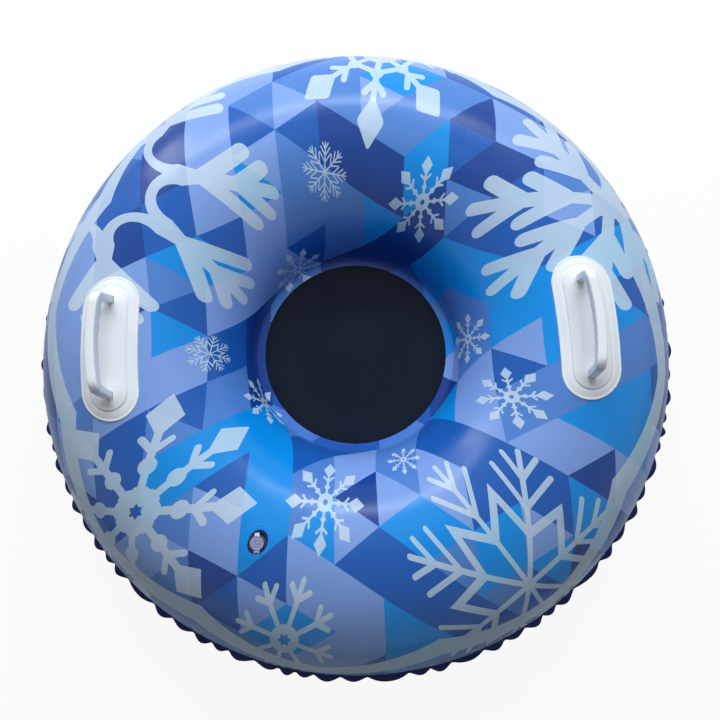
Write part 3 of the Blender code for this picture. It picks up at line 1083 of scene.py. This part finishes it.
def grown_piece(name, sizes, columns, rows, rule, material):
    """A round piece that a node tree grows from named sizes, as a grid of turns and rows.

    The rule gives the radius, the height and the place on the bake's plan at a row and a turn.
    """
    tree = bpy.data.node_groups.new(name, "GeometryNodeTree")
    tree.interface.new_socket("Geometry", in_out="OUTPUT", socket_type="NodeSocketGeometry")
    inputs = [tree.interface.new_socket(key.replace("_", " "), in_out="INPUT",
                                        socket_type="NodeSocketFloat") for key in vars(sizes)]
    start = node(tree, "NodeGroupInput")
    named = {key: Value(tree, socket) for key, socket in zip(vars(sizes), start.outputs)}

    def joined(*values):
        parts = enumerate(value.socket for value in values)
        return node(tree, "ShaderNodeCombineXYZ", parts).outputs[0]

    grid = node(tree, "GeometryNodeMeshGrid", {"Size X": 1.0, "Size Y": 1.0,
                                               "Vertices X": columns + 1, "Vertices Y": rows + 1})
    spot = node(tree, "GeometryNodeInputPosition")
    parts = node(tree, "ShaderNodeSeparateXYZ", {0: spot.outputs[0]})
    turn = (Value(tree, parts.outputs[0]) + 0.5) * (2 * math.pi)
    row = (Value(tree, parts.outputs[1]) + 0.5) * rows
    radius, height, across, shift = rule(row, turn, SimpleNamespace(**named))
    on_plan = joined(across * turn.cos() + shift, across * turn.sin() + shift)
    place = joined(radius * turn.cos(), radius * turn.sin(), height)
    shape = node(tree, "GeometryNodeStoreNamedAttribute", data_type="FLOAT2", domain="CORNER",
                 inputs={"Geometry": grid.outputs["Mesh"], "Name": "OFBake", "Value": on_plan})
    steps = (
        ("GeometryNodeSetPosition", {"Position": place}),
        ("GeometryNodeMergeByDistance", {"Distance": merge_reach}),
        ("GeometryNodeRealizeInstances", {}),
        ("GeometryNodeSetMaterial", {"Material": material}),
        ("NodeGroupOutput", {}),
    )
    for kind, values in steps:
        shape = node(tree, kind, {"Geometry": shape.outputs[0], **values})

    obj = added(name, bpy.data.meshes.new(name))
    grow = obj.modifiers.new("grown from its sizes", "NODES")
    grow.node_group = tree
    for socket, size in zip(inputs, vars(sizes).values()):
        grow[socket.identifier] = float(size)
    piece = settled(obj, name)
    shaded(piece, 50.0)
    return piece


def running_rule(row, turn, sizes):
    """The running sheet's outer face from the seat weld out, then its inner face back."""
    rim = sizes.outer_line + sizes.outer_weld
    hub = sizes.seat_hole_radius - sizes.inner_weld
    fine = sizes.outer_line - edge_zone
    face = zip(running_face, (hub, sizes.seat_hole_radius, fine, sizes.outer_line, rim))
    lining = zip(running_lining, (rim, sizes.outer_line, sizes.outer_line - sizes.lining_start,
                                  sizes.seat_hole_radius, hub))
    reach = along(row, [*face, *lining])
    lined = along(row, [(running_face[-1], 0.0), (running_lining[0], 1.0),
                        (running_lining[-1], 1.0), (running_rows, 0.0)])
    radius, level = blown(reach, turn, -1, sizes.bottom_wall, lined, 0.0, sizes)
    across = reach * (1.0 / plan_width + (lining_plan_share - 1.0 / plan_width) * lined)
    return radius, level, across, 0.5 - lining_plan_shift * lined


def bottom_skin():
    material = vinyl("running sheet", dark_vinyl, 0.26, 0.42)
    sizes = SimpleNamespace(**vars(ring_sizes), inner_weld=inner_weld, bottom_wall=bottom_wall)
    piece = grown_piece("running_skin", sizes, rim_points, running_rows, running_rule, material)
    dress(piece, "tube", "bottom_skin")


def shaded(obj, crease):
    """Smooth an object's shading, with sharp edges where it bends by more than the crease."""
    obj.data.shade_smooth()
    obj.data.set_sharp_from_angle(angle=math.radians(crease))


def new_object(name, bm, material, crease=35.0):
    mesh = bpy.data.meshes.new(name)
    bm.to_mesh(mesh)
    bm.free()
    mesh.materials.append(material)
    obj = added(name, mesh)
    shaded(obj, crease)
    return obj


def settled(obj, name):
    """A plain mesh of an object with its modifiers and place worked in."""
    graph = bpy.context.evaluated_depsgraph_get()
    graph.update()
    mesh = bpy.data.meshes.new_from_object(obj.evaluated_get(graph))
    mesh.transform(obj.matrix_world)
    mesh.name = name
    bpy.data.objects.remove(obj)
    return added(name, mesh)


def walled(bm, rings):
    """A closed shape, with faces from each ring of corners to the next."""
    for first, second in zip(rings, rings[1:]):
        for i in range(len(first)):
            j = (i + 1) % len(first)
            bm.faces.new((first[i], first[j], second[j], second[i]))
    bmesh.ops.recalc_face_normals(bm, faces=bm.faces)
    return bm


def turned(profile, steps=64, middle=(0.0, 0.0, 0.0)):
    """A closed turned shape from the radius and height of each corner of its section."""
    bm = bmesh.new()
    rings = []
    for radius, height in profile:
        ring = []
        for i in range(steps):
            turn = 2 * math.pi * i / steps
            place = (radius * math.cos(turn), radius * math.sin(turn), height)
            ring.append(bm.verts.new(Vector(place) + Vector(middle)))
        rings.append(ring)
    return walled(bm, rings + rings[:1])


def seat_rule(row, turn, sizes):
    """The taut disc's underside from its middle out, then its top face back to the middle."""
    weld_end = sizes.held + sizes.weld_round
    radius = along(row, [(0, 0.0), (seat_rows, sizes.held), (seat_rows + 1, weld_end),
                         (seat_rows + 2, sizes.radius), (seat_rows + 3, sizes.radius),
                         (seat_rows + 4, weld_end), (seat_rows + 5, sizes.held),
                         (2 * seat_rows + 5, 0.0)])
    face = along(row, [(seat_rows + 2, -0.5), (seat_rows + 3, 0.5)])
    slack = sizes.held - radius
    wave = sizes.wave * np.sin(24 * turn + 1.5 * np.sin(3 * turn))
    wave = wave * smooth(radius, sizes.wave_start, sizes.wave_full)
    level = sizes.seam_height - sizes.sag * smooth(slack, 0.0, sizes.sag_run)
    level = level + wave * smooth(slack, 0.0, sizes.wave_end) + face * sizes.wall
    return radius, level, radius * seat_plan_scale, face * seat_plan_gap + 0.5


def seat_disc():
    """A disc of sheet, flat in its weld, that sags a little inside it."""
    material = plain_finish("seat vinyl", seat_black, roughness=0.5, shine=0.12)
    uneven_gloss(material, scale=14.0, low=0.42, high=0.56)
    relief(material, scale=650.0, detail=2.0, depth=0.00004)
    piece = grown_piece("seat_sheet", seat_sizes, seat_turns, 2 * seat_rows + 5, seat_rule, material)
    dress(piece, "tube", "seat_disc")


def skin_frame(angle, out):
    """Frame on the top skin, out from its crest: X across the tube, Y round it, Z outward."""
    turn = math.radians(angle)
    radial = Vector((math.cos(turn), math.sin(turn), 0.0))
    onward = Vector((-math.sin(turn), math.cos(turn), 0.0))
    lean = math.acos(out / tube_radius)
    normal = radial * math.cos(lean) + Vector((0.0, 0.0, math.sin(lean)))
    weld = outer_offset + (inner_offset - outer_offset) * lean / math.pi
    height = seam_height + weld + tube_radius * math.sin(lean)
    spot = radial * (ring_radius + out) + Vector((0.0, 0.0, height))
    return axes_at(spot, onward.cross(normal), onward, normal)


def bow_out(place, reach, depth):
    """How far a bowed piece stands out at a place along it: depth in its middle, 0 past reach."""
    return depth * np.maximum(1 - (place / reach) ** 2, 0.0)


def base_outline(inset):
    """Outline of the handle base: round ends and long sides, bowed out towards the rim."""
    radius = base_width / 2 - inset
    straight = base_length - base_width
    points = []
    for side in (1, -1):
        for turn in np.linspace(0, math.pi, 41):
            x = side * radius * math.cos(turn)
            points.append((x, side * (straight / 2 + radius * math.sin(turn))))
        for y in np.linspace(straight / 2, -straight / 2, 26)[1:-1]:
            points.append((-side * radius, side * y))
    points = np.array(points)
    points[:, 0] += bow_out(points[:, 1], base_length / 2, base_bow)
    return points


def base_inset(points):
    """How far points lie inside the outline of the handle base."""
    x = np.abs(points[:, 0] - bow_out(points[:, 1], base_length / 2, base_bow))
    past = np.maximum(np.abs(points[:, 1]) - (base_length - base_width) / 2, 0.0)
    return base_width / 2 - np.hypot(x, past)


def base_height(points):
    """Thickness of the moulding: a grooved flange, a step up to the pad, and the pad's rise."""
    inset = base_inset(points)
    edge = np.clip(inset / base_edge, 0.0, 1.0)
    height = flange_height - base_edge * (1.0 - np.sqrt(1.0 - (1.0 - edge) ** 2))
    height -= rim_groove * np.exp(-(((inset - rim_groove_in) / rim_groove_width) ** 2))
    pad_groove_in = pad_margin - pad_groove_width
    height -= pad_groove * np.exp(-(((inset - pad_groove_in) / pad_groove_width) ** 2))
    height += flange_rise * np.clip((inset - flange_in) / (pad_margin - flange_in), 0.0, 1.0)
    height += pad_step * smooth(inset, pad_margin, pad_margin + pad_step_run)
    start = pad_margin + pad_step_end
    rise = np.clip((inset - start) / (pad_top - start), 0.0, 1.0)
    rise = (rise + smooth(inset, start, pad_top)) / 2
    height += (pad_height - flange_height - flange_rise - pad_step) * rise
    middle = smooth(inset, dish_start, dish_full)
    middle *= smooth(-np.abs(points[:, 1]), -dish_end, -dish_full)
    return height - pad_dish * middle


def on_skin(points, frame_here, height):
    """World places over local points, each the given height off the tube's round face."""
    matrix = np.array(frame_here)
    flat = np.concatenate((points, np.zeros((len(points), 1))), axis=1)
    start = flat @ matrix[:3, :3].T + matrix[:3, 3]
    way = matrix[:3, 2]
    travel = np.zeros(len(points))
    for _ in range(12):
        place = start + travel[:, None] * way
        radial = np.hypot(place[:, 0], place[:, 1]) - ring_radius
        rise = place[:, 2] - seam_height - outer_offset - gap / 2
        miss = np.hypot(radial, rise) - tube_radius - gap - height
        travel -= miss
    return start + travel[:, None] * way


def base_moulding(name, frame_here, material):
    """The closed solid of a handle base, before its pockets are cut."""
    rings = [subdivide(base_outline(depth), base_step * 0.8) for depth in (0.0, *base_rings)]
    outline = rings[0]
    points, edges = [], []
    for ring in rings:
        row = np.arange(len(ring)) + sum(map(len, points))
        points.append(ring)
        edges.append(closed(row))
    grid = hexagonal(base_length / 2, base_step)
    grid = grid[base_inset(grid) > base_fine_in]
    coarse = hexagonal(base_length / 2, base_step * 1.4)
    inset = base_inset(coarse)
    kept = [(inset > low) & (inset < high) for low, high in base_coarse_in]
    coarse = coarse[kept[0] | kept[1]]
    points += [grid, coarse]
    points = np.concatenate(points)
    flat, faces, _ = triangles(points, np.concatenate(edges))
    middles = flat[faces].mean(1)
    faces = faces[inside(middles, outline)]
    count = len(flat)
    upper = on_skin(flat, frame_here, base_height(flat))
    lower = on_skin(flat, frame_here, np.zeros(count))
    rim = np.arange(len(outline))
    all_faces = [*faces, *(faces[:, ::-1] + count), *strip(rim, rim + count)]
    mesh = bpy.data.meshes.new(name)
    mesh.from_pydata(np.concatenate((upper, lower)).tolist(), [],
                     [tuple(map(int, f)) for f in all_faces])
    bm = bmesh.new()
    bm.from_mesh(mesh)
    bpy.data.meshes.remove(mesh)
    loose = [v for v in bm.verts if not v.link_faces]
    bmesh.ops.delete(bm, geom=loose, context="VERTS")
    bmesh.ops.remove_doubles(bm, verts=bm.verts, dist=1e-6)
    bmesh.ops.recalc_face_normals(bm, faces=bm.faces)
    return new_object(name, bm, material, 40.0)


def prism(outline, low, high, axis="Z"):
    """An outline carried along an axis. Each outline point gives the other two places."""
    bm = bmesh.new()
    ends = []
    for level in (low, high):
        if axis == "Z":
            points = [(a, b, level) for a, b in outline]
        elif axis == "X":
            points = [(level, a, b) for a, b in outline]
        else:
            points = [(a, level, b) for a, b in outline]
        ends.append([bm.verts.new(point) for point in points])
    bm.faces.new(ends[0])
    bm.faces.new(reversed(ends[1]))
    for i in range(len(outline)):
        j = (i + 1) % len(outline)
        bm.faces.new((ends[0][i], ends[1][i], ends[1][j], ends[0][j]))
    bmesh.ops.recalc_face_normals(bm, faces=bm.faces)
    return bm


def block(x, y, z):
    return prism([(x[0], y[0]), (x[1], y[0]), (x[1], y[1]), (x[0], y[1])], z[0], z[1])


def combine(obj, shapes, matrix, operation="UNION"):
    """Join shapes to an object, or cut them away, one after another, and settle the result."""
    for bm in shapes:
        tool = new_object("tool", bm, obj.data.materials[0])
        tool.matrix_world = matrix
        step = obj.modifiers.new(operation, "BOOLEAN")
        step.operation = operation
        step.solver = "EXACT"
        step.object = tool
        bpy.context.view_layer.update()
        obj = settled(obj, obj.name)
        bpy.data.objects.remove(tool)
    return obj


def arc(middle, radius, start, end, steps=12):
    turns = np.radians(np.linspace(start, end, steps + 1))
    return [(middle[0] + radius * math.cos(t), middle[1] + radius * math.sin(t)) for t in turns]


def arch_pairs():
    """Outer and inner points of the grip's side view, in pairs from one neck to the other."""
    half = leg_spacing / 2
    low = neck_top - foot_height
    high = grip_height - foot_height
    under = high - bar_depth
    outer = half + leg_depth / 2
    inner = half - leg_depth / 2
    top_outer = outer - leg_lean
    top_inner = inner - leg_lean
    outside = arc((top_outer - outer_corner, high - outer_corner), outer_corner, 0.0, 90.0)
    inside_arc = arc((top_inner - inner_corner, under - inner_corner), inner_corner, 0.0, 90.0)
    leg = [((outer, low), (inner, low)), *zip(outside, inside_arc)]
    span = 2 * (top_inner - inner_corner)
    steps = 10 * int(span / wave_length)
    bar = []
    for i in range(1, steps):
        y = span * (0.5 - i / steps)
        swell = wave_depth * (1 - math.cos(2 * math.pi * i / 10)) / 2
        bar.append(((y, high), (y, under - swell)))
    return leg + bar + [[(-y, z) for y, z in pair] for pair in reversed(leg)]


def arch():
    """The grip above its necks, with finger waves under its bar, bowed between the legs."""
    bm = bmesh.new()
    half = grip_width / 2
    reach = (leg_spacing - leg_depth) / 2
    sections = []
    for outer, inner in arch_pairs():
        section = []
        for side, (y, z) in ((-half, outer), (half, outer), (half, inner), (-half, inner)):
            section.append(bm.verts.new((side + bow_out(y, reach, grip_bow), y, z)))
        sections.append(section)
    bm.faces.new(sections[0])
    bm.faces.new(reversed(sections[-1]))
    return walled(bm, sections)


def white_moulding():
    material = plain_finish("white moulded vinyl", handle_white, roughness=0.4)
    uneven_gloss(material, scale=60.0, low=0.34, high=0.46)
    relief(material, scale=900.0, detail=2.0, depth=0.00003)
    return material


def handles():
    white = white_moulding()
    for side, (angle, out, turn) in handle_places.items():
        here = skin_frame(angle, out) @ Matrix.Rotation(-math.radians(turn), 4, "Z")
        base = base_moulding(f"{side}_handle_patch", here, white)
        slot_half = (pad_height - foot_height) * math.tan(grip_swing)
        slot_half += foot_radius / math.cos(grip_swing) + gap
        pocket = foot_radius + gap
        axis = here @ Matrix.Translation((0.0, 0.0, foot_height))
        grip = new_object(f"{side}_grip", arch(), white)
        grip.matrix_world = axis
        soften = grip.modifiers.new("soften", "BEVEL")
        soften.width = grip_round
        soften.segments = 4
        soften.limit_method = "ANGLE"
        soften.angle_limit = math.radians(60.0)
        bpy.context.view_layer.update()
        grip = settled(grip, f"{side}_grip")
        high = pad_height + overrun
        for sign in (1, -1):
            middle = sign * leg_spacing / 2
            pocket_y = (middle - foot_length / 2 - gap, middle + foot_length / 2 + gap)
            neck_y = (middle - neck_depth / 2 - gap, middle + neck_depth / 2 + gap)
            barrel = prism(circle(pocket, foot_sides, (0.0, foot_height)), *pocket_y, "Y")
            below = block((-pocket, pocket), pocket_y, (-base_width / 2, foot_height))
            slot = block((-slot_half, slot_half), neck_y, (-base_width / 2, high))
            base = combine(base, (barrel, below, slot), here, "DIFFERENCE")
            neck = block((-foot_radius, foot_radius),
                         (middle - neck_depth / 2, middle + neck_depth / 2),
                         (0.0, neck_top - foot_height + overrun))
            foot = prism(circle(foot_radius, foot_sides),
                         middle - foot_length / 2, middle + foot_length / 2, "Y")
            grip = combine(grip, (neck, foot), axis)
        for piece in (base, grip):
            shaded(piece, 40.0)
        dress(base, "tube", f"{side}_handle_base")
        dress(grip, f"{side}_grip", f"{side}_handle_grip")


def clear_vinyl(name, colour, clearness):
    material = plain_finish(name, colour, roughness=0.12)
    shader = material.node_tree.nodes["Principled BSDF"]
    shader.inputs["Transmission Weight"].default_value = clearness
    shader.inputs["IOR"].default_value = 1.52
    uneven_gloss(material, scale=300.0, low=0.08, high=0.18)
    relief(material, scale=900.0, detail=2.0, depth=0.00003)
    return material


def valve():
    # Partly painted shade: the clear cup's navy tint stands for the dark inside of the tube seen through
    # it
    navy = clear_vinyl("clear vinyl over the dark inside", cup_navy_and_shade, 0.15)
    clear = clear_vinyl("milky moulded vinyl", plug_lilac, 0.25)
    spot = skin_frame(valve_angle, -valve_in).to_translation()
    here = Matrix.Translation(spot)
    outside = cup_radius + cup_wall
    tip = outside + valve_flange_width
    under = -top_wall - gap

    flange_under = under - valve_flange_wall
    cup = [
        (cup_radius, -cup_lip), (cup_radius, -cup_depth), (stem_radius + gap, -cup_depth),
        (stem_radius + gap, -cup_depth - cup_floor), (outside, -cup_depth - cup_floor),
        (outside, flange_under - cup_fillet), (tip, flange_under - cup_lip),
        (tip, under - cup_lip), (outside, -cup_lip),
    ]
    base = new_object("valve_cup", turned(rounded(cup, valve_round)), navy)
    base.matrix_world = here
    base = settled(base, "valve_cup")

    seat = -cup_depth + gap
    profile = [
        (stem_bore, stem_end), (collar_radius, stem_end), (collar_radius, stem_lip),
        (stem_radius, stem_lip), (stem_radius, seat), (collar_radius, seat),
        (collar_radius, seat + collar_height), (stem_radius, seat + collar_height),
        (stem_radius, stem_top), (stem_bore, stem_top),
    ]
    stem = new_object("valve_tube", turned(rounded(profile, valve_round)), clear)
    stem.matrix_world = here
    reach = knuckle_offset + knuckle_radius
    lug = block((-ear_out, ear_out), (-reach, -stem_bore - stem_wall / 2),
                (stem_top - lug_height, stem_top))
    ears = [block(ends, (-reach, -stem_radius), (stem_top - lug_height / 2, hinge_height))
            for ends in ((ear_in, ear_out), (-ear_out, -ear_in))]
    stem = combine(stem, (lug, *ears), here)

    hinge = here @ Matrix.Translation((0.0, -knuckle_offset, hinge_height))
    low = -knuckle_radius
    middle = (0.0, knuckle_offset, 0.0)
    high = low + plug_wall
    stopper = stem_bore - gap
    end = low - stopper_length
    button = high - cap_lip / 2
    cap = [
        (cap_eye, button), (cap_eye, end), (stopper - stopper_taper, end), (stopper, low),
        (stem_radius, low), (stem_radius, high), (stem_radius - cap_rim, high),
        (stem_radius - cap_rim - cap_lip, high - cap_drop),
        (stopper + cap_lip * 1.5, high - cap_drop), (stopper + cap_lip / 2, high),
        (stopper - cap_ring, high), (stopper - cap_button, high - cap_dish),
        (cap_button + cap_lip, high - cap_dish), (cap_button, button),
    ]
    plug = new_object("plug_cap", turned(rounded(cap, cap_round), middle=middle), clear)
    plug.matrix_world = hinge
    core = prism(circle(cap_core, 24, (0.0, knuckle_offset)), end, button)
    half = strap_width / 2
    strap = block((-half, half), (0.0, knuckle_offset - stem_radius / 2), (low, low + strap_wall))
    knuckle = prism(circle(knuckle_radius, 20), -half, half, "X")
    tab_low = low + (plug_wall - tab_wall) / 2
    tab = block((-tab_width / 2, tab_width / 2),
                (knuckle_offset + stem_radius * 0.9, knuckle_offset + stem_radius + tab_length),
                (tab_low, tab_low + tab_wall))
    plug = combine(plug, (core, strap, knuckle, tab), hinge)
    # Painted highlight: the tab's faces get a near-white finish for the light they catch, though the tab
    # is moulded with the plug
    plug.data.materials.append(plain_finish("pull tab painted highlight", tab_highlight_white, 0.35))
    past = spot.y + stem_radius
    for face in plug.data.polygons:
        if face.center.y > past:
            face.material_index = 1

    drop = here @ Matrix.Translation((0.0, -flap_radius - flap_root, stem_end - gap - flap_wall / 2))
    leaf = prism(circle(flap_radius, 64, (0.0, flap_radius + flap_root)), -flap_wall / 2, flap_wall / 2)
    flap = new_object("flap_leaf", leaf, clear)
    flap.matrix_world = drop
    root = block((-flap_radius / 2, flap_radius / 2), (-flap_wall / 2, flap_radius),
                 (-flap_wall / 2, flap_wall / 2))
    flap = combine(flap, (root,), drop)

    pieces = ((base, "tube", "valve_base"), (stem, "stem", "valve_stem"),
              (plug, "plug", "valve_plug"), (flap, "flap", "valve_flap"))
    for piece, body, cad_node in pieces:
        shaded(piece, 35.0)
        dress(piece, body, cad_node)


bpy.context.scene.view_settings.view_transform = "Standard"
camera()
studio()
top_skin()
bottom_skin()
seat_disc()
handles()
valve()
